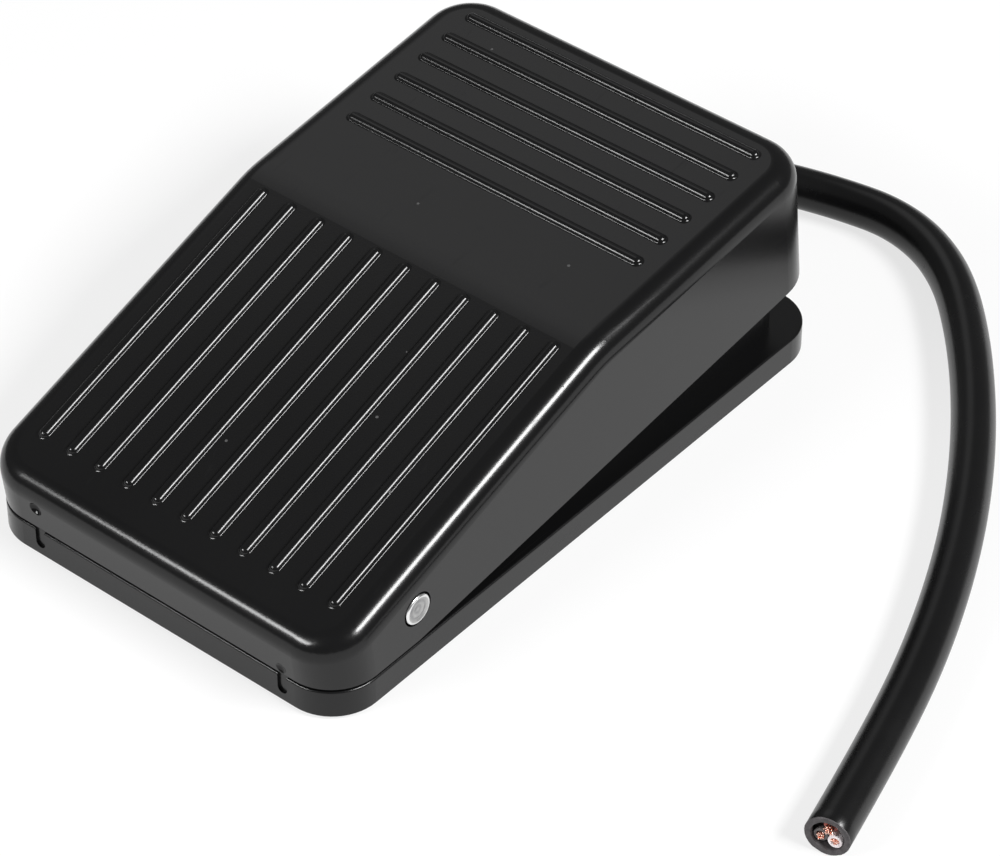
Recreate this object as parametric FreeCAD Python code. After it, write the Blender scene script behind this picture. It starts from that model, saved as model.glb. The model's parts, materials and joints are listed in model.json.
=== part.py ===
# Foot switch for a sewing machine: a hinged treadle over a flat base, with a snap switch,
# two return springs and a short three-core cord inside. Millimetres.
# Frame: +Z up, +Y towards the raised end where the cord leaves, origin on the floor
# under the middle of the body.
import FreeCAD, Part
import math
import os

V = FreeCAD.Vector
UP = V(0, 0, 1)
ACROSS = V(1, 0, 0)
ALONG = V(0, 1, 0)

# driving dimensions
half_width = 31.5
base_front = -51.1
base_rear = 51.6
corner_radius = 7.3
foot_stand = 0.5                      # rubber feet lift the base this much
flange_top = foot_stand + 4.3
floor_top = foot_stand + 2.2

pin_y = -35.5
pin_z = foot_stand + 10.4
pin_radius = 2.25
pin_half_length = half_width + 0.1       # its ends stand just proud of the treadle
pin_play = 0.05                       # between the pin and its bores in the treadle
pin_recess = 0.28                     # gap round each end of the pin, and
pin_recess_depth = 1.1                # how far in it runs
travel = 6.4                          # degrees from rest to fully pressed

# treadle, measured with the pedal fully pressed, when its rear pad is level
cover_front = -51.6
cover_rear = 50.0
cover_wall = 2.0
pad_top = foot_stand + 25.5
crease_y = 3.6
front_slope = 12.0
crease_radius = 18.0
edge_radius = 3.4
ridge_x = 9.5                         # two stiffening ridges under the pad
ridge_depth = 2.9
pin_boss_radius = 4.4
spigot_radius = 2.2                   # fits inside the coil of a return spring
spigot_depth = 3.4
notch_radius = 5.6                    # opening over the cord in the rear face
skirt_gap = 0.45

rib_radius = 0.87
rib_sink = 0.17                       # rib centre line below the surface
rib_pitch = 5.1
rib_foot = 0.3                        # fillet where a rib meets the surface
slope_ribs = 11
slope_rib_front = -43.9
slope_rib_rear = 0.6
pad_ribs = 6
pad_rib_rear = 44.5
pad_rib_half = 24.8

mark_depth = 0.35                     # moulding marks in the two front faces
mark_radius = 0.8
flange_mark_drop = 2.2
treadle_marks = [(-21.0, foot_stand + 8.3), (22.0, flange_top + 1.3)]

wall_side = 28.1                      # raised wall of the base, outer faces
wall_front = -47.7
wall_rear = 46.8
wall_thickness = 1.8
wall_corner = 5.0
wall_top_front = foot_stand + 10.0
wall_top_rear = foot_stand + 17.0
ear_radius = 3.9
ear_thickness = 3.0
mount_x = 21.0                        # two screw holes in the floor of the base
mount_y = -8.0
mount_radius = 2.25
foot_x = 22.5
foot_inset = 9.0                      # foot centres from the front and the rear of the base
foot_radius = 4.0
foot_sink = 0.98                      # how far a foot reaches up into the base

spring_x = 17.0
spring_y = 21.1
spring_radius = 4.0                   # coil centre line
spring_wire = 0.5
spring_turns = 8
spring_steps = 10                     # corners in one turn of a coil
spring_top = 29.5

switch_front = 4.2                    # snap switch case
switch_rear = 32.0
switch_half = 5.15
switch_bottom = floor_top + 0.1
switch_top = switch_bottom + 15.9
case_wall = 1.6
lever_pivot_y = 28.5
lever_pivot_z = switch_top + 1.3
lever_rest = 12.7                     # lever angle above level at rest, degrees
lever_thickness = 0.5
lever_length = 24.5
plunger_y = 19.5
plunger_radius = 1.5
plunger_gap = 0.05
blade_pivot_y = 8.6
blade_z = switch_bottom + 10.6
contact_y = 26.3
contact_radius = 1.4
lever_pin_radius = 0.6
tab_reach = 3.9                       # how far the terminals stand out of the case
sleeve_length = 4.0
sleeve_gap = 0.4
sleeve_reach = 5.3                    # the face where a wire leaves its sleeve
common_z = switch_bottom + 8.2
closed_z = switch_bottom + 12.4
open_z = switch_bottom + 6.2
post_y = 8.0                          # treadle post that pushes the lever
post_radius = 2.5
post_centre_z = switch_top + 4.5

cord_radius = 3.1
cord_x = -6.0
cord_z = flange_top + cord_radius + 0.5
cord_start = 48.8                     # the grommet's outer face
jacket_end = 39.5                     # where the jacket is stripped inside the base
core_radius = 0.95
core_offset = 1.45                    # core centres from the middle of the jacket
cut_core_radius = 1.05                # the three cores at the free end
cut_core_offset = 1.25
cut_core_reach = 0.4
clamp_y = 41.8
clamp_reach = 6.4
screw_radius = 1.5
head_radius = 2.7
head_height = 1.9
bore_play = 0.02                      # between the cord and the pieces that hold it

nodes = {}


# small helpers
def block(x0, x1, y0, y1, z0, z1):
    return Part.makeBox(x1 - x0, y1 - y0, z1 - z0, V(x0, y0, z0))


def rod(start, direction, length, radius):
    return Part.makeCylinder(radius, length, start, direction)


def ball(centre, radius):
    return Part.makeSphere(radius, centre)


def joined(first, *others):
    return first.fuse(list(others)).removeSplitter()


def turned(shape, degrees, y, z):
    copy = shape.copy()
    copy.rotate(V(0, y, z), ACROSS, degrees)
    return copy


def slab(half, front, rear, radius, bottom, top):
    """Upright block with round vertical corners."""
    s = radius * (1 - math.sqrt(0.5))
    corners = []
    for sx, y, sy in ((-1, front, 1), (1, front, 1), (1, rear, -1), (-1, rear, -1)):
        on_side = V(sx * half, y + sy * radius, bottom)
        middle = V(sx * (half - s), y + sy * s, bottom)
        on_end = V(sx * (half - radius), y, bottom)
        corners.append((on_side, middle, on_end))
    order = [corners[0], corners[1][::-1], corners[2], corners[3][::-1]]
    edges = []
    for i, corner in enumerate(order):
        edges.append(Part.Arc(*corner).toShape())
        edges.append(Part.LineSegment(corner[2], order[(i + 1) % 4][0]).toShape())
    return Part.Face(Part.Wire(edges)).extrude(UP * (top - bottom))


def side_profile(points, half):
    """Block that keeps one side outline, given as (y, z), over the whole width."""
    corners = [V(-half, y, z) for y, z in points]
    return Part.Face(Part.makePolygon(corners + corners[:1])).extrude(ACROSS * 2 * half)


def slope_height(y, drop=0.0):
    return pad_top - math.tan(math.radians(front_slope)) * (crease_y - y) - drop


def tube(points, radius, label):
    """Straight runs joined by tangent arcs, swept with a round section."""
    pts = [V(*p) for p in points]
    runs = [(b - a).Length for a, b in zip(pts, pts[1:])]
    edges = []
    here = pts[0]
    radii = []
    for i in range(1, len(pts) - 1):
        into = (pts[i] - pts[i - 1]).normalize()
        out = (pts[i + 1] - pts[i]).normalize()
        turn = into.getAngle(out)
        reach = 0.45 * min(runs[i - 1], runs[i])
        radii.append(reach / math.tan(turn / 2))
        start = pts[i] - into * reach
        end = pts[i] + out * reach
        bow = (out - into).normalize()
        depth = radii[-1] * (1 / math.cos(turn / 2) - 1)
        edges.append(Part.LineSegment(here, start).toShape())
        edges.append(Part.Arc(start, pts[i] + bow * depth, end).toShape())
        here = end
    edges.append(Part.LineSegment(here, pts[-1]).toShape())
    path = Part.Wire(edges)
    ring = Part.Wire(Part.Circle(pts[0], pts[1] - pts[0], radius).toShape())
    solid = path.makePipeShell([ring], True, True)
    ideal = math.pi * radius ** 2 * path.Length
    print(label, "length", round(path.Length, 1), "radii", [round(r, 1) for r in radii],
          "volume ratio", round(solid.Volume / ideal, 4))
    return solid


# treadle
def cover_block(inset, rounding):
    """Outer form of the treadle, or its hollow when inset is the wall thickness."""
    drop = inset
    slope_drop = inset / math.cos(math.radians(front_slope))
    half = half_width - inset
    front = cover_front + inset
    rear = cover_rear - inset
    top = pad_top - drop
    crease = crease_y + (slope_drop - drop) / math.tan(math.radians(front_slope))
    low = -10.0
    outline = [(front, low), (rear, low), (rear, top), (crease, top), (front, slope_height(front, slope_drop))]
    shape = side_profile(outline, half).common(slab(half, front, rear, corner_radius - inset, low, 60.0))
    ridge = [e for e in shape.Edges if abs(e.CenterOfMass.y - crease) < 0.01 and e.CenterOfMass.z > top - 0.01]
    shape = shape.makeFillet(crease_radius, ridge)
    rim = []
    for edge in shape.Edges:
        middle = edge.valueAt((edge.FirstParameter + edge.LastParameter) / 2)
        near_top = middle.z > slope_height(min(middle.y, crease_y), slope_drop) - 0.5
        inner = slab(half - 0.05, front + 0.05, rear - 0.05, corner_radius - inset, low, 60.0)
        if near_top and not inner.isInside(middle, 0.001, True):
            rim.append(edge)
    return shape.makeFillet(rounding, rim)


def capsule(start, end):
    shape = rod(start, end - start, (end - start).Length, rib_radius)
    return joined(shape, ball(start, rib_radius), ball(end, rib_radius))


def treadle_ribs():
    ribs = []
    sink = rib_sink / math.cos(math.radians(front_slope))
    for i in range(slope_ribs):
        x = (i - (slope_ribs - 1) / 2) * rib_pitch
        ribs.append(capsule(V(x, slope_rib_front, slope_height(slope_rib_front, sink)),
                            V(x, slope_rib_rear, slope_height(slope_rib_rear, sink))))
    for i in range(pad_ribs):
        y = pad_rib_rear - i * rib_pitch
        ribs.append(capsule(V(-pad_rib_half, y, pad_top - rib_sink), V(pad_rib_half, y, pad_top - rib_sink)))
    return ribs


def ribbed_block():
    shape = joined(cover_block(0.0, edge_radius), *treadle_ribs())
    feet = []
    for face in shape.Faces:
        if isinstance(face.Surface, Part.Plane) and face.normalAt(0, 0).z > 0.5:
            for wire in face.Wires:
                if not wire.isSame(face.OuterWire):
                    feet.extend(wire.Edges)
    return shape.makeFillet(rib_foot, feet)


def pedal_cover():
    hollow = cover_block(cover_wall, edge_radius - cover_wall + 0.2)
    shape = ribbed_block().cut(hollow)
    ceiling = pad_top - cover_wall + 0.4
    extras = []
    for side in (-1, 1):
        boss_start = V(side * (half_width - cover_wall - 0.9), pin_y, pin_z)
        extras.append(rod(boss_start, ACROSS * side, 1.4, pin_boss_radius))
        spigot_end = V(side * spring_x, spring_y + 0.9, ceiling - spigot_depth)
        extras.append(rod(spigot_end, UP, spigot_depth, spigot_radius))
        x = side * ridge_x
        extras.append(block(x - 0.8, x + 0.8, crease_y + 2.0, 45.0, ceiling - ridge_depth, ceiling))
    extras.append(rod(V(0, post_y, post_centre_z), UP, ceiling - post_centre_z, post_radius))
    extras.append(ball(V(0, post_y, post_centre_z), post_radius))
    shape = joined(shape, *extras)
    for side in (-1, 1):
        shape = shape.cut(rod(V(side * 20, pin_y, pin_z), ACROSS * side, 20, pin_radius + pin_play))
        recess_start = V(side * (half_width - pin_recess_depth), pin_y, pin_z)
        shape = shape.cut(rod(recess_start, ACROSS * side, 2, pin_radius + pin_recess))
    skirt = flange_top + skirt_gap
    shape = shape.cut(block(-40, 40, -60, 60, -20, skirt))
    notch = joined(rod(V(cord_x, 44, cord_z), ALONG, 12, notch_radius),
                   block(cord_x - notch_radius, cord_x + notch_radius, 44, 56, 0, cord_z))
    shape = shape.cut(notch)
    shape = turned(shape, travel, pin_y, pin_z)
    shape = shape.cut(block(-40, 40, -60, pin_y + 5.0, -20, skirt))
    for x, z in treadle_marks:
        shape = shape.cut(ball(V(x, cover_front - mark_depth, z), mark_radius + mark_depth))
    return shape


# base
def wall_height(y):
    share = (y - wall_front) / (wall_rear - wall_front)
    return wall_top_front + share * (wall_top_rear - wall_top_front)


def base_housing():
    flange = slab(half_width, base_front, base_rear, corner_radius, foot_stand, flange_top)
    outer_top = [e for e in flange.Edges if e.BoundBox.ZMin > flange_top - 0.01]
    outer_bottom = [e for e in flange.Edges if e.BoundBox.ZMax < foot_stand + 0.01]
    flange = flange.makeFillet(0.3, outer_top).makeFillet(0.15, outer_bottom)
    wall = slab(wall_side, wall_front, wall_rear, wall_corner, floor_top, 40.0)
    lid = side_profile([(-60, 0), (60, 0), (60, wall_height(60)), (-60, wall_height(-60))], 40)
    shape = joined(flange, wall.common(lid))
    room = slab(wall_side - wall_thickness, wall_front + wall_thickness, wall_rear - wall_thickness,
                wall_corner - wall_thickness, floor_top, 60.0)
    shape = shape.cut(room)
    extras = []
    holes = []
    for side in (-1, 1):
        inner = side * (wall_side - ear_thickness)
        ear = joined(rod(V(inner, pin_y, pin_z), ACROSS * side, ear_thickness, ear_radius),
                     block(min(inner, side * wall_side), max(inner, side * wall_side),
                           pin_y - ear_radius, pin_y + ear_radius, floor_top - 0.5, pin_z))
        extras.append(ear)
        holes.append(rod(V(side * 20, pin_y, pin_z), ACROSS * side, 20, pin_radius + 0.01))
        extras.append(rod(V(side * spring_x, spring_y, floor_top - 0.5), UP, 3.5, 2.6))
        extras.append(rod(V(cord_x + side * clamp_reach, clamp_y, floor_top - 0.5), UP, 6.0, 2.0))
        holes.append(rod(V(cord_x + side * clamp_reach, clamp_y, floor_top + 0.3), UP, 10, screw_radius - 0.15))
        holes.append(rod(V(side * mount_x, mount_y, -1), UP, 8, mount_radius))
    extras.append(block(-8.3, -5.25, 6.0, 30.2, floor_top - 0.5, switch_bottom + 14.6))
    extras.append(block(cord_x - 3.2, cord_x + 3.2, clamp_y - 2.0, clamp_y + 2.0,
                        floor_top - 0.5, cord_z - cord_radius - bore_play))
    shape = joined(shape, *extras)
    for y, z in switch_hole_places():
        holes.append(rod(V(-8.4, y, z), ACROSS, 4, screw_radius - 0.05))
    holes.append(rod(V(cord_x, wall_rear - 4, cord_z), ALONG, 4.0, 4.2))
    for x, y in foot_places():
        holes.append(rod(V(x, y, foot_stand - 1), UP, 2.0, foot_radius + 0.1))
    for x, z in treadle_marks:
        mark_end = flange_top - flange_mark_drop
        slot = block(x - mark_radius, x + mark_radius, base_front - 1, base_front + mark_depth,
                     mark_end, flange_top + 1)
        holes.append(joined(slot, rod(V(x, base_front - 1, mark_end), ALONG, 1 + mark_depth, mark_radius)))
    return shape.cut(holes)


def foot_places():
    return [(sx * foot_x, y) for sx in (-1, 1) for y in (base_front + foot_inset, base_rear - foot_inset)]


def rubber_foot(x, y):
    foot = rod(V(x, y, 0), UP, foot_stand + foot_sink, foot_radius)
    low = [e for e in foot.Edges if e.BoundBox.ZMax < 0.01]
    return foot.makeFillet(0.2, low)


def pivot_pin():
    shape = rod(V(-pin_half_length, pin_y, pin_z), ACROSS, 2 * pin_half_length, pin_radius)
    ends = [e for e in shape.Edges if isinstance(e.Curve, Part.Circle)]
    shape = shape.makeFillet(0.3, ends)
    for side in (-1, 1):
        dimple = rod(V(side * (pin_half_length - 0.12), pin_y, pin_z), ACROSS * side, 1, 1.15)
        shape = shape.cut(dimple)
    return shape


def return_spring(side):
    """Coil of short straight runs and arcs, from the floor of the base to the treadle's ceiling."""
    bottom = floor_top + 0.65
    rise = (spring_top - bottom - spring_wire) / (spring_turns * spring_steps)
    points = []
    for i in range(spring_turns * spring_steps + 1):
        angle = 2 * math.pi * i / spring_steps
        points.append((side * spring_x + spring_radius * math.cos(angle),
                       spring_y + spring_radius * math.sin(angle), bottom + i * rise))
    return tube(points, spring_wire, "return_spring")


# snap switch
def switch_hole_places():
    return [(y, switch_bottom + 2.9) for y in (switch_front + 3.0, switch_rear - 3.0)]


def case_half(x0, x1):
    return block(x0, x1, switch_front, switch_rear, switch_bottom, switch_top)


def case_room(x0, x1):
    return block(x0, x1, switch_front + case_wall, switch_rear - case_wall,
                 switch_bottom + case_wall, switch_top - case_wall)


def screw_bosses(x0, x1):
    return [rod(V(x0, y, z), ACROSS, x1 - x0, screw_radius + 1.2) for y, z in switch_hole_places()]


def switch_openings():
    """Screw holes, the plunger bore and the three terminal slots."""
    holes = [rod(V(-9, y, z), ACROSS, 18, screw_radius + 0.06) for y, z in switch_hole_places()]
    holes.append(rod(V(0, plunger_y, switch_top - 4), UP, 8, plunger_radius + 0.06))
    for y0, y1, z in terminal_slots():
        holes.append(block(-2.45, 2.45, y0, y1, z - 0.32, z + 0.32))
    return holes


def terminal_slots():
    return [(switch_front - 1, switch_front + case_wall + 0.1, common_z),
            (switch_rear - case_wall - 0.1, switch_rear + 1, open_z),
            (switch_rear - case_wall - 0.1, switch_rear + 1, closed_z)]


def switch_case():
    room = case_room(-switch_half + case_wall, 4.0)
    shape = case_half(-switch_half, 3.5).cut(room)
    shape = joined(shape, *[b.common(case_half(-switch_half, 3.5)) for b in screw_bosses(-switch_half, 3.5)])
    for side in (-1, 1):
        x0 = side * 3.05 - 0.35
        lug = joined(block(x0, x0 + 0.7, lever_pivot_y - 1.3, lever_pivot_y + 1.3,
                           switch_top - 0.5, lever_pivot_z),
                     rod(V(x0, lever_pivot_y, lever_pivot_z), ACROSS, 0.7, 1.3))
        shape = joined(shape, lug)
    shape = shape.cut(switch_openings())
    return shape.cut(rod(V(-6, lever_pivot_y, lever_pivot_z), ACROSS, 12, lever_pin_radius + 0.02))


def switch_lid():
    shape = case_half(3.52, switch_half)
    return shape.cut(switch_openings())


def lever_pin():
    return rod(V(-3.6, lever_pivot_y, lever_pivot_z), ACROSS, 7.2, lever_pin_radius)


def switch_lever():
    """Level with its tip towards the hinge end, then raised to the rest angle."""
    half = lever_thickness / 2
    tip = lever_pivot_y - lever_length
    strip = block(-2.0, 2.0, tip + 2.0, lever_pivot_y - 1.3, lever_pivot_z - half, lever_pivot_z + half)
    end = rod(V(0, tip + 2.0, lever_pivot_z - half), UP, lever_thickness, 2.0)
    eye = rod(V(-2.5, lever_pivot_y, lever_pivot_z), ACROSS, 5.0, 1.1)
    neck = block(-2.0, 2.0, lever_pivot_y - 1.6, lever_pivot_y, lever_pivot_z - half, lever_pivot_z + half)
    shape = joined(strip, end, eye, neck)
    shape = shape.cut(rod(V(-5, lever_pivot_y, lever_pivot_z), ACROSS, 10, lever_pin_radius + 0.06))
    return turned(shape, -lever_rest, lever_pivot_y, lever_pivot_z)


def switch_plunger():
    """Round-ended pin that stands just clear of the raised lever."""
    angle = math.radians(lever_rest)
    stand_off = plunger_radius + lever_thickness / 2 + plunger_gap
    reach = lever_pivot_y - plunger_y
    centre_z = lever_pivot_z + (reach * math.sin(angle) - stand_off) / math.cos(angle)
    foot = blade_z + 0.85
    stem = rod(V(0, plunger_y, foot), UP, centre_z - foot, plunger_radius)
    collar = rod(V(0, plunger_y, switch_top - case_wall - 1.0), UP, 0.9, plunger_radius + 0.9)
    return joined(stem, ball(V(0, plunger_y, centre_z), plunger_radius), collar)


def switch_blade():
    strip = block(-1.8, 1.8, blade_pivot_y - 0.4, contact_y + 1.9, blade_z - 0.15, blade_z + 0.15)
    window = block(-0.8, 0.8, blade_pivot_y + 2.5, blade_pivot_y + 8.0, blade_z - 1, blade_z + 1)
    return strip.cut([window, rod(V(0, contact_y, blade_z - 1), UP, 2, 0.7)])


def moving_contact():
    head = rod(V(0, contact_y, blade_z + 0.15), UP, 0.7, contact_radius)
    shank = rod(V(0, contact_y, blade_z - 0.15), UP, 0.3, 0.7)
    tail = rod(V(0, contact_y, blade_z - 0.75), UP, 0.6, contact_radius)
    return joined(head, shank, tail)


def snap_spring():
    """Bowed strip under the window of the blade."""
    y0 = blade_pivot_y + 2.0
    y1 = blade_pivot_y + 8.5
    top = blade_z - 0.15
    low = V(-0.6, (y0 + y1) / 2, blade_z - 2.6)
    outer = Part.Arc(V(-0.6, y0, top), low, V(-0.6, y1, top)).toShape()
    inner = Part.Arc(V(-0.6, y1 - 0.3, top), low + UP * 0.2, V(-0.6, y0 + 0.3, top)).toShape()
    ends = [Part.LineSegment(V(-0.6, y1, top), V(-0.6, y1 - 0.3, top)).toShape(),
            Part.LineSegment(V(-0.6, y0 + 0.3, top), V(-0.6, y0, top)).toShape()]
    return Part.Face(Part.Wire([outer, ends[0], inner, ends[1]])).extrude(ACROSS * 1.2)


def terminal_common():
    tab = block(-2.4, 2.4, switch_front - tab_reach, blade_pivot_y + 1.0, common_z - 0.3, common_z + 0.3)
    post = block(-1.8, 1.8, blade_pivot_y - 0.9, blade_pivot_y - 0.4, common_z - 0.3, blade_z - 0.35)
    lip = block(-1.8, 1.8, blade_pivot_y - 0.9, blade_pivot_y + 0.6, blade_z - 0.75, blade_z - 0.3)
    return joined(tab, post, lip)


def fixed_terminal(z):
    tab = block(-2.4, 2.4, contact_y - 1.8, switch_rear + tab_reach, z - 0.3, z + 0.3)
    return tab.cut(rod(V(0, contact_y, z - 1), UP, 2, 0.7))


def fixed_contact(z, facing):
    """Silver rivet through a terminal, its head facing up (1) or down (-1)."""
    head = rod(V(0, contact_y, z + facing * 0.3), UP * facing, 0.6, contact_radius)
    shank = rod(V(0, contact_y, z + facing * 0.3), UP * -facing, 0.6, 0.7)
    tail = rod(V(0, contact_y, z - facing * 0.3), UP * -facing, 0.4, 1.2)
    return joined(head, shank, tail)


def terminal_sleeve(y0, z, side):
    """Insulated flag receptacle pushed over a terminal; its wire leaves to one side."""
    outer = side * sleeve_reach
    inner = side * -3.2
    shape = block(min(outer, inner), max(outer, inner), y0, y0 + sleeve_length, z - 1.9, z + 1.9)
    shape = shape.makeFillet(0.6, shape.Edges)
    return shape.cut(block(-2.45, 2.45, y0 - 1, y0 + sleeve_length + 1, z - 0.32, z + 0.32))


# fasteners
def pan_screw(head_at, direction, length):
    """Pan head with a cross recess; the shank runs along direction from under the head."""
    shank = rod(head_at, direction, length, screw_radius - 0.16)
    head = rod(head_at, direction * -1, head_height, head_radius)
    far = [e for e in head.Edges if (e.CenterOfMass - head_at).Length > head_height - 0.1]
    head = head.makeFillet(0.8, far)
    shape = joined(head, shank)
    top = head_at - direction * head_height
    across = V(direction.y, direction.z, direction.x)
    other = direction.cross(across)
    for a, b in ((across, other), (other, across)):
        corner = top - a * 1.5 - b * 0.3 - direction * 0.5
        outline = [corner, corner + a * 3, corner + a * 3 + b * 0.6, corner + b * 0.6, corner]
        shape = shape.cut(Part.Face(Part.makePolygon(outline)).extrude(direction * 1.4))
    return shape


def switch_screws():
    places = [V(switch_half, y, z) for y, z in switch_hole_places()]
    return Part.makeCompound([pan_screw(p, ACROSS * -1, 13.2) for p in places])


def clamp_screws():
    places = [V(cord_x + side * clamp_reach, clamp_y, cord_z + cord_radius - 1.0) for side in (-1, 1)]
    return Part.makeCompound([pan_screw(p, UP * -1, 7.2) for p in places])


def cord_clamp():
    """Bar that holds the jacket down on its saddle."""
    low = floor_top + 5.52
    front = clamp_y - 2.0
    bar = block(cord_x - clamp_reach - 3.0, cord_x + clamp_reach + 3.0, front, front + 4.0,
                low, cord_z + cord_radius - 1.0)
    hump_radius = cord_radius + 1.0
    hump = joined(rod(V(cord_x, front, cord_z), ALONG, 4.0, hump_radius),
                  block(cord_x - hump_radius, cord_x + hump_radius, front, front + 4.0, low, cord_z))
    shape = joined(bar, hump.common(block(-40, 40, 30, 50, low, 30)))
    holes = [rod(V(cord_x, 30, cord_z), ALONG, 20, cord_radius + bore_play),
             block(cord_x - cord_radius - bore_play, cord_x + cord_radius + bore_play, 30, 50, 0, cord_z)]
    for side in (-1, 1):
        holes.append(rod(V(cord_x + side * clamp_reach, clamp_y, 0), UP, 30, screw_radius + 0.06))
    return shape.cut(holes)


def cord_grommet():
    """Rubber bush in the rear wall, with a lip on each side of it."""
    bore = rod(V(cord_x, 40, cord_z), ALONG, 20, cord_radius + bore_play)
    inside = wall_rear - wall_thickness
    outer_lip = Part.makeCone(5.0, 3.9, cord_start - wall_rear, V(cord_x, wall_rear, cord_z), ALONG)
    outer_lip = outer_lip.common(block(-40, 40, 30, 60, flange_top + 0.02, 40))
    shape = joined(rod(V(cord_x, inside - 1.0, cord_z), ALONG, 0.99, 5.3),
                   rod(V(cord_x, inside - 0.5, cord_z), ALONG, wall_thickness + 0.5, 4.18), outer_lip)
    return shape.cut(bore)


# cord
cord_route = [
    (cord_x, cord_start, cord_z), (cord_x, 57.6, cord_z), (-2.4, 65.5, 6.5), (4.4, 70.9, 4.5),
    (15.4, 75.8, 3.3), (26.8, 77.6, 3.15), (38.4, 72.8, 3.15), (50.2, 60.8, 3.15), (62.2, 44.8, 3.15),
    (72.4, 27.4, 3.15), (80.6, 8.8, 3.15), (86.6, -9.8, 3.15), (91.2, -28.0, 3.15),
]


def wire_routes():
    """Each core leaves the jacket along it and meets the face of its sleeve squarely."""
    starts = []
    for angle in (150, 30, 270):
        x = cord_x + core_offset * math.cos(math.radians(angle))
        z = cord_z + core_offset * math.sin(math.radians(angle))
        starts.append((x, z))
    (open_x, open_start_z), (closed_x, closed_start_z), (common_x, common_start_z) = starts
    rear_y = switch_rear + sleeve_gap + sleeve_length / 2
    front_y = switch_front - sleeve_gap - sleeve_length / 2
    return {
        "wire_open": [(open_x, jacket_end, open_start_z), (open_x, 37.8, open_start_z), (-8.9, 36.4, open_z),
                      (-8.4, rear_y, open_z), (-sleeve_reach, rear_y, open_z)],
        "wire_closed": [(closed_x, jacket_end, closed_start_z), (closed_x, 37.8, closed_start_z), (-6.4, 37.0, 11.2),
                        (-8.8, 35.6, 13.2), (-8.0, rear_y, closed_z), (-sleeve_reach, rear_y, closed_z)],
        "wire_common": [(common_x, jacket_end, common_start_z), (common_x, 37.9, common_start_z), (-4.6, 36.9, 5.4),
                        (3.0, 35.2, 4.2), (8.6, 33.0, 4.0), (9.8, 26.0, 4.0), (9.8, 14.0, 4.0), (9.6, 6.0, 5.2),
                        (9.2, 2.6, 8.6), (8.0, front_y, common_z), (sleeve_reach, front_y, common_z)],
    }


def cord_jacket_inner():
    return rod(V(cord_x, jacket_end, cord_z), ALONG, cord_start - jacket_end, cord_radius)


def cut_core(angle):
    end = V(*cord_route[-1])
    heading = (end - V(*cord_route[-2])).normalize()
    sideways = heading.cross(UP).normalize()
    lift = sideways.cross(heading)
    offset = sideways * math.cos(math.radians(angle)) + lift * math.sin(math.radians(angle))
    return rod(end + offset * cut_core_offset, heading, cut_core_reach, cut_core_radius)


# every piece, by the name of its file
def build():
    nodes["base_housing"] = base_housing()
    nodes["pedal_cover"] = pedal_cover()
    nodes["pivot_pin"] = pivot_pin()
    for side, name in ((-1, "left"), (1, "right")):
        nodes["return_spring_" + name] = return_spring(side)
    for i, (x, y) in enumerate(foot_places()):
        nodes["rubber_foot_%d" % (i + 1)] = rubber_foot(x, y)
    nodes["switch_case"] = switch_case()
    nodes["switch_lid"] = switch_lid()
    nodes["switch_plunger"] = switch_plunger()
    nodes["switch_lever"] = switch_lever()
    nodes["lever_pin"] = lever_pin()
    nodes["switch_blade"] = switch_blade()
    nodes["moving_contact"] = moving_contact()
    nodes["snap_spring"] = snap_spring()
    nodes["terminal_common"] = terminal_common()
    nodes["terminal_open"] = fixed_terminal(open_z)
    nodes["terminal_closed"] = fixed_terminal(closed_z)
    nodes["contact_open"] = fixed_contact(open_z, 1)
    nodes["contact_closed"] = fixed_contact(closed_z, -1)
    nodes["switch_screws"] = switch_screws()
    nodes["sleeve_common"] = terminal_sleeve(switch_front - sleeve_gap - sleeve_length, common_z, 1)
    nodes["sleeve_open"] = terminal_sleeve(switch_rear + sleeve_gap, open_z, -1)
    nodes["sleeve_closed"] = terminal_sleeve(switch_rear + sleeve_gap, closed_z, -1)
    nodes["cord_clamp"] = cord_clamp()
    nodes["clamp_screws"] = clamp_screws()
    nodes["cord_grommet"] = cord_grommet()
    nodes["cord_jacket_inner"] = cord_jacket_inner()
    for name, route in wire_routes().items():
        nodes[name] = tube(route, core_radius, name)
    nodes["power_cord"] = tube(cord_route, cord_radius, "power_cord")
    for i in range(3):
        nodes["cut_core_%d" % (i + 1)] = cut_core(90 + 120 * i)


build()
os.makedirs("parts", exist_ok=True)
for name, shape in nodes.items():
    if not shape.isValid():
        print("not valid:", name)
    shape.exportStep("parts/" + name + ".step")
print(len(nodes), "nodes")
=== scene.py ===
import bmesh
import bpy
import json
import math
import random
from mathutils import Matrix, Vector


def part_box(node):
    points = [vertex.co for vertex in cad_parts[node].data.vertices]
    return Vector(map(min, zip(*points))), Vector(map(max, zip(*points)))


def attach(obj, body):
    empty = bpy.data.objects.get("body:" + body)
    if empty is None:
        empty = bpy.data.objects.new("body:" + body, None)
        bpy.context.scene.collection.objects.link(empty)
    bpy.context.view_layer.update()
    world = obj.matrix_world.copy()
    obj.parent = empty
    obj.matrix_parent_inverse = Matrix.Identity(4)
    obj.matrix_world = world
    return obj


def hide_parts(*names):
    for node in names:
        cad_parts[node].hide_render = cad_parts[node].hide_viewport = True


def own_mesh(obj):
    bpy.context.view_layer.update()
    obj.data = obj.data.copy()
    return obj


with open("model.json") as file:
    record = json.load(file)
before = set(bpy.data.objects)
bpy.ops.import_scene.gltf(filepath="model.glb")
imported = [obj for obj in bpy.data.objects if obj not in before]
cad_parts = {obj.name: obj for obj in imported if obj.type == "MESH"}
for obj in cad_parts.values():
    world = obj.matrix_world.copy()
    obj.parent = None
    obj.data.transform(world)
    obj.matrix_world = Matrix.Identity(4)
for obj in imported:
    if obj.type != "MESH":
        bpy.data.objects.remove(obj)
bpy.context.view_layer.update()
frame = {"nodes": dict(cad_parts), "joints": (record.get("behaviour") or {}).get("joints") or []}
print("frame loaded:", len(frame["nodes"]), "nodes")
random.seed(20)

mm = 0.001


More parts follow.
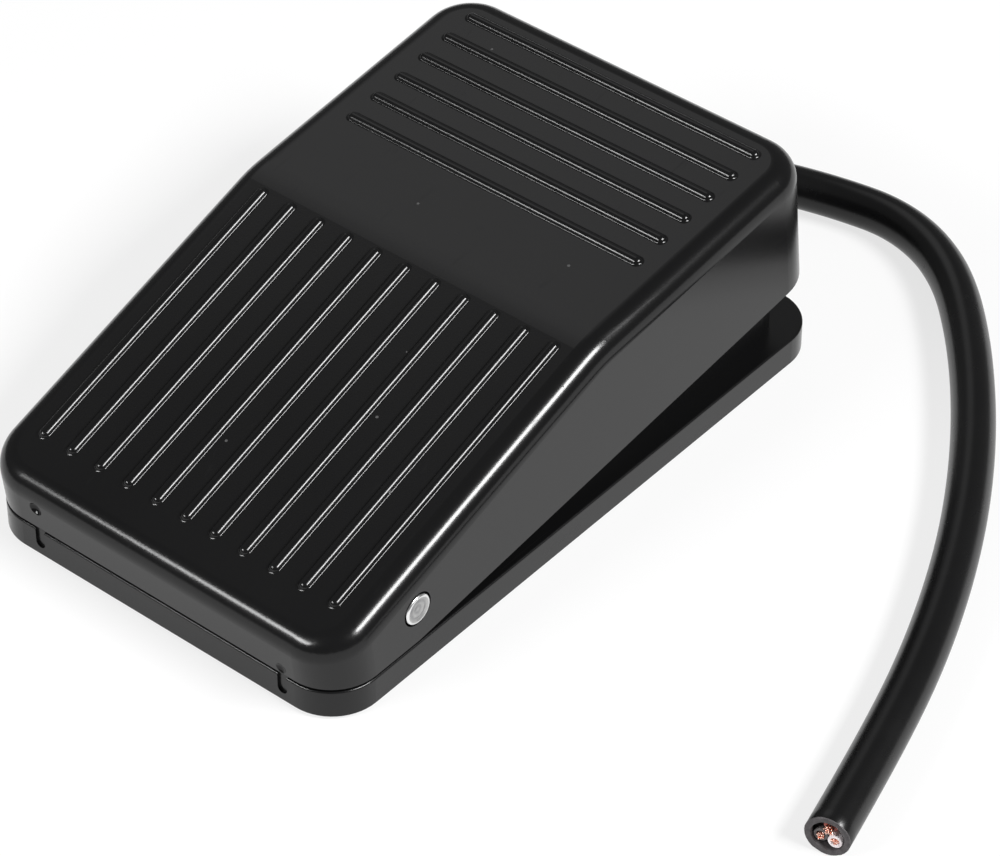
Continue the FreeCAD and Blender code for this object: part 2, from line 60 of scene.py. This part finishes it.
# mesh helpers
def newPiece(name, bm, material, body):
    mesh = bpy.data.meshes.new(name)
    bm.to_mesh(mesh)
    bm.free()
    piece = bpy.data.objects.new(name, mesh)
    bpy.context.scene.collection.objects.link(piece)
    mesh.materials.append(material)
    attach(piece, body)
    return piece


def smoothUnder(bm, degrees):
    limit = math.radians(degrees)
    for face in bm.faces:
        face.smooth = True
    for edge in bm.edges:
        edge.smooth = len(edge.link_faces) == 2 and edge.calc_face_angle(0) < limit


def pushRing(bm, edges, centre, scale, shift):
    # extrudes an open rim, scales it about a centre and shifts it; gives back the new rim
    grown = bmesh.ops.extrude_edge_only(bm, edges=edges)["geom"]
    verts = [g for g in grown if isinstance(g, bmesh.types.BMVert)]
    for vert in verts:
        vert.co = centre + (vert.co - centre) * scale + shift
    return [g for g in grown if isinstance(g, bmesh.types.BMEdge)]


def latheInto(bm, profile, origin, axis, steps=48):
    # profile is a list of (distance along the axis, radius), turned into a closed round part
    axis = Vector(axis)
    side = axis.orthogonal().normalized()
    verts = [bm.verts.new(origin + axis * along + side * radius) for along, radius in profile]
    edges = [bm.edges.new(pair) for pair in zip(verts, verts[1:])]
    bmesh.ops.spin(bm, geom=verts + edges, cent=origin, axis=axis, angle=2 * math.pi, steps=steps, use_merge=True)
    bmesh.ops.remove_doubles(bm, verts=bm.verts, dist=1e-6)
    bmesh.ops.recalc_face_normals(bm, faces=bm.faces)


def arcPoints(centreAlong, centreRadius, radius, start, stop, count):
    points = []
    for i in range(count + 1):
        angle = math.radians(start + (stop - start) * i / count)
        points.append((centreAlong + radius * math.cos(angle), centreRadius + radius * math.sin(angle)))
    return points


# material helpers
class Signal:
    # an output socket; the operators add Math nodes
    def __init__(self, finish, socket):
        self.finish = finish
        self.socket = socket

    def __add__(self, other):
        return self.finish.maths("ADD", self, other)

    def __radd__(self, other):
        return self.finish.maths("ADD", other, self)

    def __sub__(self, other):
        return self.finish.maths("SUBTRACT", self, other)

    def __rsub__(self, other):
        return self.finish.maths("SUBTRACT", other, self)

    def __mul__(self, other):
        return self.finish.maths("MULTIPLY", self, other)

    def __rmul__(self, other):
        return self.finish.maths("MULTIPLY", other, self)

    def __pow__(self, other):
        return self.finish.maths("POWER", self, other)

    def __gt__(self, other):
        return self.finish.maths("GREATER_THAN", self, other)

    def __lt__(self, other):
        return self.finish.maths("LESS_THAN", self, other)


class Finish:
    # one material: add() makes any node, surface() ends it
    def __init__(self, name):
        self.material = bpy.data.materials.new(name)
        self.material.use_nodes = True
        self.tree = self.material.node_tree
        self.tree.nodes.clear()

    def add(self, kind, settings=None, sockets=None, output=0):
        node = self.tree.nodes.new("ShaderNode" + kind)
        for key, value in (settings or {}).items():
            if key == "stops":
                while len(node.color_ramp.elements) < len(value):
                    node.color_ramp.elements.new(0.5)
                for element, (place, shade) in zip(node.color_ramp.elements, value):
                    element.position = place
                    element.color = (shade, shade, shade, 1)
            else:
                setattr(node, key, value)
        for key, value in (sockets or {}).items():
            if isinstance(value, Signal):
                self.tree.links.new(value.socket, node.inputs[key])
            else:
                node.inputs[key].default_value = value
        return Signal(self, node.outputs[output]) if node.outputs else None

    def maths(self, operation, first, second, clamp=False):
        return self.add("Math", {"operation": operation, "use_clamp": clamp}, {0: first, 1: second})

    def place(self):
        return self.add("TexCoord", output="Object")

    def noise(self, scale, detail=3.0, rough=0.55, stretch=None, turn=(0, 0, 0)):
        vector = self.place()
        if stretch:
            vector = self.add("Mapping", {}, {"Vector": vector, "Rotation": turn, "Scale": stretch})
        return self.add("TexNoise", {}, {"Vector": vector, "Scale": scale, "Detail": detail, "Roughness": rough})

    def ramp(self, value, stops):
        return self.add("ValToRGB", {"stops": stops}, {"Fac": value})

    def tint(self, amount, low, high):
        # colour from low to high as amount goes from 0 to 1
        return self.add("Mix", {"data_type": "RGBA"},
                        {"Factor": amount, 6: (*low, 1), 7: (*high, 1)}, output=2)

    def specks(self, scale, size, share):
        # round specks: a few cells of a cell pattern, each with a small spot in its middle
        place = self.place()
        spot = self.add("TexVoronoi", {}, {"Vector": place, "Scale": scale}, output="Distance")
        cell = self.add("TexVoronoi", {}, {"Vector": place, "Scale": scale}, output="Color")
        lot = self.add("SeparateColor", {}, {"Color": cell}, output=0)
        return (spot < size) * (lot > 1 - share)

    def bump(self, height, distance, strength=1.0, under=None):
        sockets = {"Height": height, "Distance": distance, "Strength": strength}
        if under:
            sockets["Normal"] = under
        return self.add("Bump", {}, sockets)

    def surface(self, sockets):
        shader = self.add("BsdfPrincipled", {}, sockets)
        self.add("OutputMaterial", {}, {"Surface": shader})
        return self.material


# black moulded plastic of the treadle and the base
plasticLook = {
    "dark": (0.0026, 0.0026, 0.0027),
    "light": (0.0046, 0.0046, 0.0048),
    "dust": (0.08, 0.08, 0.08),
    "grain": 2800.0,                 # mould texture, per metre
    "grainDepth": 0.000006,
    "flowDepth": 0.00005,
}


def mouldedPlastic(name, roughness, seedTurn):
    look = plasticLook
    f = Finish(name)
    grain = f.noise(look["grain"], 2.0, 0.6)
    flow = f.noise(38.0, 3.0, 0.5, (1.0, 0.45, 1.0), (0, 0, seedTurn))
    scuff = f.noise(900.0, 2.0, 0.6, (1.0, 0.035, 1.0), (0, 0, seedTurn + 0.5))
    scuffLine = f.ramp(scuff, [(0.66, 0.0), (0.72, 1.0)])
    pits = f.specks(260.0, 0.10, 0.10)
    dust = f.specks(330.0, 0.07, 0.045)
    colour = f.tint(flow, look["dark"], look["light"])
    colour = f.add("Mix", {"data_type": "RGBA"}, {"Factor": dust * 0.7, 6: colour, 7: (*look["dust"], 1)}, output=2)
    rough = roughness + (flow - 0.5) * 0.08 + (grain - 0.5) * 0.05 + scuffLine * 0.06 + dust * 0.35
    wave = f.bump(flow, look["flowDepth"], 0.25)
    normal = f.bump(grain - pits * 2.2 + dust * 1.2, look["grainDepth"], 0.55, wave)
    return f.surface({"Base Color": colour, "Roughness": rough, "Normal": normal, "IOR": 1.39})


def turnedSteel(name, centre, radius, face=0.40, rim=0.86):
    # bright steel with rings round an X axis and a polished rim; the rim's lower roughness is real polish, its much
    # lighter colour is a painted highlight
    f = Finish(name)
    across = f.add("SeparateXYZ", {}, {"Vector": f.place()}, output="Y") - centre[0]
    up = f.add("SeparateXYZ", {}, {"Vector": f.place()}, output="Z") - centre[1]
    share = ((across * across + up * up) ** 0.5) * (1 / radius)
    rings = f.maths("SINE", share * 58.0, 0)
    band = f.maths("SINE", share * 17.0 + 1.0, 0)
    stain = f.noise(1400.0, 4.0, 0.6)
    fine = f.noise(9000.0, 3.0, 0.6)
    polishedRimAndPaintedHighlight = f.ramp(share, [(0.80, 0.0), (0.88, 1.0)])
    dull = f.tint(stain + band * 0.22, (face * 0.62, face * 0.62, face * 0.64), (face * 1.3, face * 1.3, face * 1.28))
    # painted highlight: the rim band is coloured much lighter than the turned face
    colour = f.add("Mix", {"data_type": "RGBA"}, {"Factor": polishedRimAndPaintedHighlight, 6: dull, 7: (rim, rim, rim, 1)}, output=2)
    normal = f.bump(rings * 0.5 + fine * 1.2, 0.000005, 0.8)
    rough = 0.32 + (stain - 0.5) * 0.25 - polishedRimAndPaintedHighlight * 0.08
    return f.surface({"Base Color": colour, "Metallic": 1.0, "Roughness": rough, "Normal": normal})


def plainMetal(name, dark, light, roughness, scale=3000.0):
    f = Finish(name)
    stain = f.noise(scale * 0.2, 4.0, 0.6)
    draw = f.noise(scale, 3.0, 0.6, (1.0, 0.08, 1.0))
    colour = f.tint(f.ramp(stain, [(0.3, 0.0), (0.7, 1.0)]), dark, light)
    normal = f.bump(draw, 0.000004, 0.6)
    rough = roughness + (draw - 0.5) * 0.16 + (stain - 0.5) * 0.10
    return f.surface({"Base Color": colour, "Metallic": 1.0, "Roughness": rough, "Normal": normal})


def softRubber(name, dark, light, roughness, grain=3500.0, depth=0.00001):
    f = Finish(name)
    fine = f.noise(grain, 3.0, 0.65)
    patch = f.noise(140.0, 3.0, 0.5)
    bloom = f.ramp(patch, [(0.45, 0.0), (0.75, 1.0)])
    dust = f.specks(420.0, 0.09, 0.05)
    colour = f.tint(bloom * 0.8 + dust * 0.2, dark, light)
    normal = f.bump(fine + dust, depth, 0.6)
    rough = roughness + (patch - 0.5) * 0.12 + (fine - 0.5) * 0.10
    return f.surface({"Base Color": colour, "Roughness": rough, "Normal": normal, "IOR": 1.5})


def cordJacket(name):
    f = Finish(name)
    fine = f.noise(4200.0, 3.0, 0.6)
    rub = f.noise(75.0, 4.0, 0.6)
    scrape = f.ramp(f.noise(420.0, 3.0, 0.7), [(0.68, 0.0), (0.74, 1.0)])
    dust = f.specks(380.0, 0.08, 0.03)
    colour = f.tint(rub, (0.0022, 0.0022, 0.0023), (0.0040, 0.0040, 0.0042))
    colour = f.add("Mix", {"data_type": "RGBA"}, {"Factor": dust * 0.5, 6: colour, 7: (0.1, 0.1, 0.1, 1)}, output=2)
    rough = 0.27 + (rub - 0.5) * 0.10 + scrape * 0.16 + dust * 0.3
    lump = f.bump(rub, 0.0002, 0.2)
    normal = f.bump(fine * 0.8 + scrape * 0.8, 0.000006, 0.5, lump)
    return f.surface({"Base Color": colour, "Roughness": rough, "Normal": normal, "IOR": 1.4})


def cutPlastic(name, dark, light, roughness=0.55):
    # freshly cut or moulded soft plastic with knife marks
    f = Finish(name)
    knife = f.noise(5200.0, 3.0, 0.6, (1.0, 0.18, 0.5), (0.3, 0.1, 0.6))
    patch = f.noise(1500.0, 3.0, 0.6)
    colour = f.tint(f.ramp(patch, [(0.3, 0.0), (0.7, 1.0)]), dark, light)
    normal = f.bump(knife, 0.00003, 0.6)
    return f.surface({"Base Color": colour, "Roughness": roughness + (knife - 0.5) * 0.2, "Normal": normal})


def mouldedSmall(name, dark, light, roughness):
    # small mouldings inside: thermoset case, sleeves, clamp, plunger
    f = Finish(name)
    grain = f.noise(3200.0, 3.0, 0.6)
    cloud = f.noise(260.0, 3.0, 0.5)
    colour = f.tint(cloud, dark, light)
    normal = f.bump(grain, 0.000012, 0.5)
    return f.surface({"Base Color": colour, "Roughness": roughness + (grain - 0.5) * 0.14, "Normal": normal})


pinAxis = frame["joints"][0]["pos_m"]
finishes = {
    "treadle": mouldedPlastic("treadlePlastic", 0.19, 0.2),
    "base": mouldedPlastic("basePlastic", 0.22, 1.1),
    "pin": turnedSteel("pinSteel", (pinAxis[1], pinAxis[2]), 0.00225),
    "leverPin": plainMetal("leverPinSteel", (0.45, 0.45, 0.47), (0.7, 0.7, 0.7), 0.28),
    "spring": plainMetal("springWire", (0.34, 0.34, 0.36), (0.6, 0.6, 0.6), 0.30, 6000.0),
    "brass": plainMetal("stampedBrass", (0.62, 0.42, 0.17), (0.86, 0.66, 0.33), 0.30),
    "silver": plainMetal("contactSilver", (0.68, 0.68, 0.68), (0.9, 0.9, 0.88), 0.22),
    "zinc": plainMetal("zincPlate", (0.42, 0.43, 0.45), (0.66, 0.66, 0.62), 0.32),
    "copper": plainMetal("copperStrand", (0.74, 0.36, 0.27), (1.0, 0.72, 0.62), 0.24, 9000.0),
    "jacket": cordJacket("cordJacket"),
    "jacketCut": cutPlastic("jacketCut", (0.026, 0.023, 0.025), (0.062, 0.056, 0.059)),
    "rubber": softRubber("softRubber", (0.012, 0.012, 0.012), (0.028, 0.028, 0.028), 0.55),
    "whiteCore": cutPlastic("whiteCore", (0.62, 0.55, 0.56), (0.88, 0.84, 0.85), 0.35),
    "greyCore": cutPlastic("greyCore", (0.055, 0.05, 0.052), (0.12, 0.11, 0.11), 0.4),
    "redCore": cutPlastic("redCore", (0.20, 0.03, 0.025), (0.42, 0.10, 0.07), 0.35),
    "thermoset": mouldedSmall("switchCase", (0.012, 0.012, 0.014), (0.03, 0.03, 0.034), 0.42),
    "plunger": mouldedSmall("plungerRed", (0.32, 0.03, 0.02), (0.5, 0.06, 0.04), 0.35),
    "nylon": mouldedSmall("paleNylon", (0.42, 0.44, 0.46), (0.6, 0.62, 0.64), 0.38),
    "blackNylon": mouldedSmall("blackNylon", (0.014, 0.014, 0.014), (0.03, 0.03, 0.03), 0.45),
}
nodeFinish = {
    "pedal_cover": "treadle", "base_housing": "base", "lever_pin": "leverPin", "switch_case": "thermoset",
    "switch_lid": "thermoset", "switch_plunger": "plunger", "switch_lever": "spring", "switch_blade": "brass",
    "snap_spring": "brass", "moving_contact": "silver", "contact_open": "silver", "contact_closed": "silver",
    "terminal_common": "brass", "terminal_open": "brass", "terminal_closed": "brass", "switch_screws": "zinc",
    "clamp_screws": "zinc", "sleeve_common": "nylon", "sleeve_open": "nylon", "sleeve_closed": "nylon",
    "cord_clamp": "blackNylon", "cord_grommet": "rubber", "cord_jacket_inner": "jacket",
    "wire_common": "whiteCore", "wire_open": "greyCore", "wire_closed": "redCore",
}
for node, finish in nodeFinish.items():
    frame["nodes"][node].data.materials[0] = finishes[finish]
print("finishes made:", len(finishes))


cameraSet = {
    "target": Vector((15.14, 0.48, 8.5)) * mm,
    "azimuth": 39.816,
    "elevation": 40.74,
    "distance": 578.59 * mm,
    "lens": 155.04,
}


def addCamera():
    turn = math.radians(cameraSet["azimuth"])
    rise = math.radians(cameraSet["elevation"])
    away = Vector((math.sin(turn) * math.cos(rise), -math.cos(turn) * math.cos(rise), math.sin(rise)))
    data = bpy.data.cameras.new("camera")
    data.lens = cameraSet["lens"]
    data.sensor_width = 36.0
    data.sensor_fit = "HORIZONTAL"
    data.clip_start = 0.01
    camera = bpy.data.objects.new("camera", data)
    bpy.context.scene.collection.objects.link(camera)
    camera.location = cameraSet["target"] + away * cameraSet["distance"]
    camera.rotation_euler = (-away).to_track_quat("-Z", "Y").to_euler()
    bpy.context.scene.camera = camera


addCamera()

cordSet = {
    "route": [
        (-6.0, 48.8, 8.4), (-6.0, 57.6, 8.4), (-2.4, 65.5, 6.5), (4.4, 70.9, 4.5), (15.4, 75.8, 3.3),
        (26.8, 77.6, 3.15), (38.4, 72.8, 3.15), (50.2, 60.8, 3.15), (62.2, 44.8, 3.15), (72.4, 27.4, 3.15),
        (80.6, 8.8, 3.15), (86.6, -9.8, 3.15), (91.2, -28.0, 3.15),
    ],
    "radius": 3.1 * mm,
    "wall": 0.27,                    # share of the radius that is jacket at the cut
    "hollow": 1.3 * mm,              # how deep the cut end can be looked into
}


def evaluatedMesh(piece):
    graph = bpy.context.evaluated_depsgraph_get()
    graph.update()
    return bpy.data.meshes.new_from_object(piece.evaluated_get(graph))


def routeCurve():
    data = bpy.data.curves.new("cordRoute", "CURVE")
    data.dimensions = "3D"
    data.resolution_u = 20
    data.use_fill_caps = False
    line = data.splines.new("NURBS")
    line.points.add(len(cordSet["route"]) - 1)
    for point, place in zip(line.points, cordSet["route"]):
        point.co = (*(Vector(place) * mm), 1.0)
    line.order_u = 3
    line.use_endpoint_u = True
    curve = bpy.data.objects.new("cordRoute", data)
    bpy.context.scene.collection.objects.link(curve)
    return curve


def powerCord():
    curve = routeCurve()
    line = evaluatedMesh(curve)
    path = [v.co.copy() for v in line.vertices]
    curve.data.bevel_depth = cordSet["radius"]
    curve.data.bevel_resolution = 12
    tube = evaluatedMesh(curve)
    bpy.data.objects.remove(curve)
    bm = bmesh.new()
    bm.from_mesh(tube)
    bmesh.ops.remove_doubles(bm, verts=bm.verts, dist=1e-7)
    end = path[-1]
    heading = (path[-1] - path[-2]).normalized()
    rims = [e for e in bm.edges if len(e.link_faces) == 1]
    near = [e for e in rims if (e.verts[0].co - end).length < 2 * cordSet["radius"]]
    bmesh.ops.holes_fill(bm, edges=[e for e in rims if e not in near])
    before = set(bm.faces)
    rim = pushRing(bm, near, end, 0.975, heading * 0.10 * mm)
    rim = pushRing(bm, rim, end, 0.94, heading * 0.03 * mm)
    rim = pushRing(bm, rim, end, (1 - cordSet["wall"]) / 0.917, heading * -0.04 * mm)
    rim = pushRing(bm, rim, end, 0.97, heading * -0.15 * mm)
    rim = pushRing(bm, rim, end, 1.0, heading * -cordSet["hollow"])
    bmesh.ops.holes_fill(bm, edges=rim)
    for face in bm.faces:
        if face not in before:
            face.material_index = 1
    cutVerts = {v for f in bm.faces if f not in before for v in f.verts}
    for vert in cutVerts:
        if (vert.co - end).dot(heading) > -0.2 * mm:
            vert.co += heading * random.uniform(-0.05, 0.05) * mm
    bmesh.ops.recalc_face_normals(bm, faces=bm.faces)
    smoothUnder(bm, 40)
    piece = newPiece("powerCord", bm, finishes["jacket"], "base")
    piece.data.materials.append(finishes["jacketCut"])
    return piece, path, end, heading


cordPiece, cordPath, cordEnd, cordHeading = powerCord()
print("cord made:", len(cordPath), "points along it")

# the three cores at the cut end of the cord
coreSet = {
    "offset": 1.18 * mm,
    "radius": 0.98 * mm,
    "bore": 0.58 * mm,
    "strand": 0.105 * mm,
    "buried": 1.5 * mm,
}
coreKinds = [         # angle round the cord, finish, slot, how far insulation and strands stand out, their splay
    (95, "redCore", "core_red", -0.75 * mm, 0.40 * mm, 0.30),
    (212, "whiteCore", "core_white", -0.05 * mm, -0.15 * mm, 0.09),
    (332, "greyCore", "core_dark", -0.40 * mm, -0.25 * mm, 0.09),
]


def cordAxes():
    side = cordHeading.cross(Vector((0, 0, 1))).normalized()
    return side, side.cross(cordHeading)


def coreAt(angle):
    side, lift = cordAxes()
    turn = math.radians(angle)
    return cordEnd + (side * math.cos(turn) + lift * math.sin(turn)) * coreSet["offset"]


def insulation(name, centre, finish, out):
    outer = coreSet["radius"]
    inner = coreSet["bore"]
    bm = bmesh.new()
    back = -coreSet["buried"]
    lip = 0.06 * mm
    profile = [(back, inner), (back, outer), (out - lip, outer), (out, outer - lip),
               (out - 0.02 * mm, (outer + inner) / 2), (out, inner + lip), (out - lip, inner), (back, inner)]
    latheInto(bm, profile, centre, cordHeading, 28)
    smoothUnder(bm, 50)
    return newPiece(name, bm, finishes[finish], "base")


def strands(name, centre, out, splay):
    # a hexagonal bundle of fine wires, each cut at its own length and a little splayed
    bm = bmesh.new()
    side, lift = cordAxes()
    pitch = coreSet["strand"] * 2.05
    places = [(0.0, 0.0)]
    for ring, count in ((1, 6), (2, 12)):
        for i in range(count):
            turn = 2 * math.pi * i / count + 0.3 * ring
            places.append((ring * pitch * math.cos(turn), ring * pitch * math.sin(turn)))
    for across, up in places:
        root = centre + side * across + lift * up - cordHeading * coreSet["buried"]
        length = coreSet["buried"] + out + random.uniform(-0.12, 0.22) * mm
        lean = cordHeading + side * random.uniform(-splay, splay) + lift * random.uniform(-splay, splay)
        lean.normalize()
        turn = Vector((0, 0, 1)).rotation_difference(lean).to_matrix().to_4x4()
        place = Matrix.Translation(root + lean * length / 2) @ turn
        made = bmesh.ops.create_cone(bm, cap_ends=True, cap_tris=False, segments=10, radius1=coreSet["strand"],
                                     radius2=coreSet["strand"], depth=length, matrix=place)
        top = [e for e in bm.edges if all(v in made["verts"] for v in e.verts)
               and all((v.co - root).dot(lean) > length * 0.9 for v in e.verts)]
        bmesh.ops.bevel(bm, geom=top, offset=0.03 * mm, affect="EDGES", segments=2, profile=0.5, material=-1)
    smoothUnder(bm, 50)
    return newPiece(name, bm, finishes["copper"], "base")


cordPieces = []
for number, (angle, finish, slot, skinOut, wireOut, splay) in enumerate(coreKinds, start=1):
    centre = coreAt(angle)
    skin = insulation("coreSkin%d" % number, centre, finish, skinOut)
    wires = strands("coreStrands%d" % number, centre, wireOut, splay)
    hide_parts("cut_core_%d" % number)
    cordPieces += [skin, wires]
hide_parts("power_cord")
print("cut end made:", len(cordPieces), "pieces")

pinSet = {"radius": 2.25 * mm, "rim": 0.34 * mm, "dish": 0.22 * mm, "stand": 0.15 * mm}


def hingePin():
    low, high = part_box("pivot_pin")
    half = high[0] + pinSet["stand"]
    radius = pinSet["radius"]
    rim = pinSet["rim"]
    dish = pinSet["dish"]
    end = arcPoints(half - rim, radius - rim, rim, 90, 10, 6)
    end += [(half - 0.02 * mm, radius * 0.80), (half - dish * 0.7, radius * 0.70), (half - dish, radius * 0.60)]
    end += [(half - dish * 0.5, radius * 0.52), (half - dish * 0.45, radius * 0.42), (half - dish, radius * 0.34),
            (half - dish, 0.0)]
    mirrored = [(-along, r) for along, r in reversed(end)]
    bm = bmesh.new()
    latheInto(bm, mirrored + end, Vector((0, pinAxis[1], pinAxis[2])), (1, 0, 0), 72)
    smoothUnder(bm, 50)
    piece = newPiece("hingePin", bm, finishes["pin"], "base")
    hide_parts("pivot_pin")


hingePin()

springSet = {"wire": 0.5 * mm, "radius": 4.0 * mm, "active": 7, "stepsPerTurn": 30, "travel": 6.35 * mm}


def returnSpring(node, name):
    low, high = (Vector(corner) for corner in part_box(node))
    middle = (low + high) / 2
    wire = springSet["wire"]
    height = high.z - low.z - 2 * wire
    closed = 2 * wire * 1.02
    steps = springSet["stepsPerTurn"]
    activeRise = (height - 2 * closed) / springSet["active"]
    bm = bmesh.new()
    start = Vector((middle.x + springSet["radius"], middle.y, low.z + wire))
    stand = Matrix.Translation(start) @ Matrix.Rotation(math.pi / 2, 4, "X")
    section = bmesh.ops.create_circle(bm, segments=12, radius=wire, matrix=stand)["verts"]
    geom = section + list({e for v in section for e in v.link_edges})
    for turns, rise in ((1, closed), (springSet["active"], activeRise), (1, closed)):
        made = bmesh.ops.spin(bm, geom=geom, cent=(middle.x, middle.y, 0), axis=(0, 0, 1),
                              angle=2 * math.pi * turns, steps=steps * turns,
                              dvec=(0, 0, rise / steps), use_merge=False)
        geom = made["geom_last"]
    bmesh.ops.holes_fill(bm, edges=[e for e in bm.edges if len(e.link_faces) == 1])
    bmesh.ops.recalc_face_normals(bm, faces=bm.faces)
    smoothUnder(bm, 50)
    piece = newPiece(name, bm, finishes["spring"], "base")
    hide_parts(node)
    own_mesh(piece)


returnSpring("return_spring_left", "springLeft")
returnSpring("return_spring_right", "springRight")

footSet = {"grooves": (0.48, 0.70), "grooveDepth": 0.18 * mm, "edge": 0.2 * mm}


def rubberFoot(number):
    node = "rubber_foot_%d" % number
    low, high = (Vector(corner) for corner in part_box(node))
    radius = (high.x - low.x) / 2
    thick = high.z - low.z
    edge = footSet["edge"]
    profile = [(thick, 0.0), (thick, radius)]
    profile += [(edge - edge * math.sin(math.radians(a)), radius - edge + edge * math.cos(math.radians(a)))
                for a in (0, 30, 60, 90)]
    for share in reversed(footSet["grooves"]):
        ring = radius * share
        depth = footSet["grooveDepth"]
        profile += [(0.0, ring + 1.6 * depth), (depth, ring + 0.4 * depth), (depth, ring - 0.4 * depth),
                    (0.0, ring - 1.6 * depth)]
    profile += [(0.0, 0.0)]
    bm = bmesh.new()
    latheInto(bm, profile, Vector(((low.x + high.x) / 2, (low.y + high.y) / 2, low.z)), (0, 0, 1), 56)
    smoothUnder(bm, 35)
    piece = newPiece("foot%d" % number, bm, finishes["rubber"], "base")
    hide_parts(node)


for number in range(1, 5):
    rubberFoot(number)
print("pin, springs and feet made")

studio = {
    "floor": 0.16,
    "floorGlow": 0.75,               # the floor is a pale sheet lit from below as well
    "floorSize": 6.0,
    "sky": 0.21,
    "fill": 1.02,                    # a broad soft light high up at the rear left
    "fillFrom": (-0.55, 0.35, 0.76),
    "fillEdge": (0.945, 0.992),      # cosines of its outer and inner rim
    "keys": [                        # name, direction, distance, width, height, strength
        ("rightSoftbox", (0.708, 0.133, 0.696), 1.1, 0.50, 0.24, 18.0),
        ("frontSoftbox", (-0.32, -0.76, 0.57), 1.1, 0.50, 0.20, 9.0),
    ],
}


def addFloor():
    bm = bmesh.new()
    bmesh.ops.create_grid(bm, x_segments=2, y_segments=2, size=studio["floorSize"] / 2)
    mesh = bpy.data.meshes.new("floor")
    bm.to_mesh(mesh)
    bm.free()
    floor = bpy.data.objects.new("floor", mesh)
    bpy.context.scene.collection.objects.link(floor)
    f = Finish("paleFloor")
    cloud = f.noise(6.0, 2.0, 0.5)
    shade = studio["floor"]
    colour = f.tint(cloud, (shade * 0.98,) * 3, (shade,) * 3)
    mesh.materials.append(f.surface({"Base Color": colour, "Roughness": 0.9, "Emission Color": (1, 1, 1, 1),
                                     "Emission Strength": studio["floorGlow"]}))


def addSky():
    world = bpy.data.worlds.new("studio")
    world.use_nodes = True
    bpy.context.scene.world = world
    tree = world.node_tree
    tree.nodes.clear()
    place = tree.nodes.new("ShaderNodeTexCoord")
    match = tree.nodes.new("ShaderNodeVectorMath")
    ramp = tree.nodes.new("ShaderNodeMapRange")
    glow = tree.nodes.new("ShaderNodeBackground")
    out = tree.nodes.new("ShaderNodeOutputWorld")
    match.operation = "DOT_PRODUCT"
    match.inputs[1].default_value = Vector(studio["fillFrom"]).normalized()
    ramp.interpolation_type = "SMOOTHSTEP"
    ramp.inputs["From Min"].default_value = studio["fillEdge"][0]
    ramp.inputs["From Max"].default_value = studio["fillEdge"][1]
    ramp.inputs["To Min"].default_value = studio["sky"]
    ramp.inputs["To Max"].default_value = studio["fill"]
    tree.links.new(place.outputs["Generated"], match.inputs[0])
    tree.links.new(match.outputs["Value"], ramp.inputs["Value"])
    tree.links.new(ramp.outputs["Result"], glow.inputs["Strength"])
    tree.links.new(glow.outputs[0], out.inputs["Surface"])


def addLights():
    for name, direction, distance, width, height, strength in studio["keys"]:
        data = bpy.data.lights.new(name, "AREA")
        data.shape = "RECTANGLE"
        data.size = width
        data.size_y = height
        data.energy = strength
        lamp = bpy.data.objects.new(name, data)
        bpy.context.scene.collection.objects.link(lamp)
        towards = Vector(direction).normalized()
        lamp.location = towards * distance
        lamp.rotation_euler = towards.to_track_quat("Z", "Y").to_euler()


addFloor()
addSky()
addLights()
bpy.context.scene.view_settings.view_transform = "Standard"
print("studio made")
